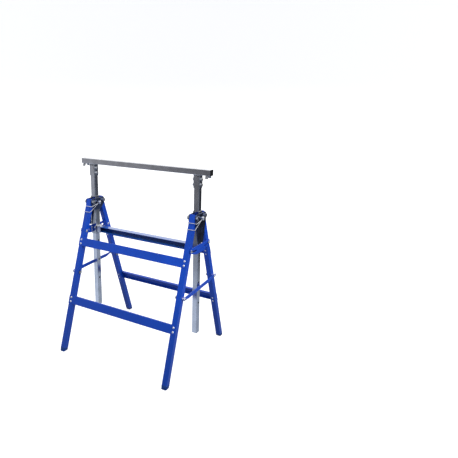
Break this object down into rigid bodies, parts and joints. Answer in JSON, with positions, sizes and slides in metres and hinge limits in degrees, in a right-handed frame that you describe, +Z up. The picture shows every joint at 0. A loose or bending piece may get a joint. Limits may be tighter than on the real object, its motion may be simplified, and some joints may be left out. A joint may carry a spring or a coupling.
{
  "type": "builders trestle",
  "caption": "Folding steel builders trestle: a square-tube top beam on sliding posts with lock pins, carried by splayed blue leg frames that fold, with hook-on stays.",
  "frame": {"origin": "on the floor, under the middle of the beam", "axes": "+X along the beam to the right, +Y to the rear, +Z up"},
  "size_m": [0.7, 0.5376, 0.885],
  "materials": {
    "zinc_tube": "bright zinc-plated square tube, fine drawn lines",
    "zinc_plate": "zinc-plated pressed sheet, a little duller than the tubes",
    "zinc_fastener": "bright zinc-plated bolts, rivets, pins and spring wire",
    "blue_paint": "glossy blue powder coat with a fine orange peel",
    "dark_paint": "dark blue coat, glossy",
    "navy_plastic": "moulded dark blue plastic, satin",
    "black_plastic": "moulded black plastic, satin"
  },
  "bodies": {
    "head": {"guide_sleeve_left": "zinc_tube", "guide_sleeve_right": "zinc_tube", "outer_cheek_left": "zinc_plate", "outer_cheek_right": "zinc_plate", "inner_cheek_left": "zinc_plate", "inner_cheek_right": "zinc_plate", "spreader_left": "blue_paint", "spreader_right": "blue_paint", "tie_bracket_left": "zinc_plate", "tie_bracket_right": "zinc_plate", "tie_plate_left": "zinc_plate", "tie_plate_right": "zinc_plate", "tie_bar": "dark_paint", "leg_pivot_bolts": "zinc_fastener", "leg_pivot_nuts": "zinc_fastener", "leg_pivot_washers": "zinc_fastener"},
    "sliding_top": {"top_beam": "zinc_tube", "socket_bolts": "zinc_fastener", "socket_nuts": "zinc_fastener", "beam_cap_left": "black_plastic", "beam_cap_right": "black_plastic", "end_lugs_left": "zinc_plate", "end_lugs_right": "zinc_plate", "beam_socket_left": "zinc_plate", "beam_socket_right": "zinc_plate", "post_left": "zinc_tube", "post_right": "zinc_tube"},
    "front_frame": {"front_leg_left": "blue_paint", "front_leg_right": "blue_paint", "front_foot_left": "navy_plastic", "front_foot_right": "navy_plastic", "front_upper_rail": "blue_paint", "front_lower_rail": "blue_paint", "front_rail_rivets": "zinc_fastener", "front_stop_pins": "zinc_fastener", "stay_pivot_bolts": "zinc_fastener", "stay_pivot_nuts": "zinc_fastener"},
    "rear_frame": {"rear_leg_left": "blue_paint", "rear_leg_right": "blue_paint", "rear_foot_left": "navy_plastic", "rear_foot_right": "navy_plastic", "rear_upper_rail": "blue_paint", "rear_lower_rail": "blue_paint", "rear_rail_rivets": "zinc_fastener", "rear_stop_pins": "zinc_fastener", "stay_hook_bolts": "zinc_fastener", "stay_hook_nuts": "zinc_fastener"},
    "left_stay": {"stay_left": "blue_paint"},
    "right_stay": {"stay_right": "blue_paint"},
    "left_pin": {"lock_pin_left": "zinc_fastener", "pin_clip_left": "zinc_fastener"},
    "right_pin": {"lock_pin_right": "zinc_fastener", "pin_clip_right": "zinc_fastener"}
  },
  "joints": [
    {"name": "height_slide", "type": "slide", "parent": "head", "child": "sliding_top", "axis": [0, 0, 1], "range_m": [0, 0.392]},
    {"name": "front_fold", "type": "hinge", "parent": "head", "child": "front_frame", "pos_m": [0, -0.036, 0.68], "axis": [1, 0, 0], "range_deg": [0, 17.85]},
    {"name": "rear_fold", "type": "hinge", "parent": "head", "child": "rear_frame", "pos_m": [0, 0.036, 0.68], "axis": [1, 0, 0], "range_deg": [-17.85, 0]},
    {"name": "left_stay_swing", "type": "hinge", "parent": "front_frame", "child": "left_stay", "pos_m": [-0.3072, -0.13992, 0.35732], "axis": [1, 0, 0], "range_deg": [0, 55]},
    {"name": "right_stay_swing", "type": "hinge", "parent": "front_frame", "child": "right_stay", "pos_m": [0.3072, -0.13992, 0.35732], "axis": [1, 0, 0], "range_deg": [0, 55]},
    {"name": "left_pin_slide", "type": "slide", "parent": "head", "child": "left_pin", "axis": [1, 0, 0], "range_m": [-0.0045, 0]},
    {"name": "right_pin_slide", "type": "slide", "parent": "head", "child": "right_pin", "axis": [1, 0, 0], "range_m": [-0.0045, 0]}
  ],
  "couplings": [
    {"joint": "rear_fold", "follows": "front_fold", "ratio": -1}
  ]
}
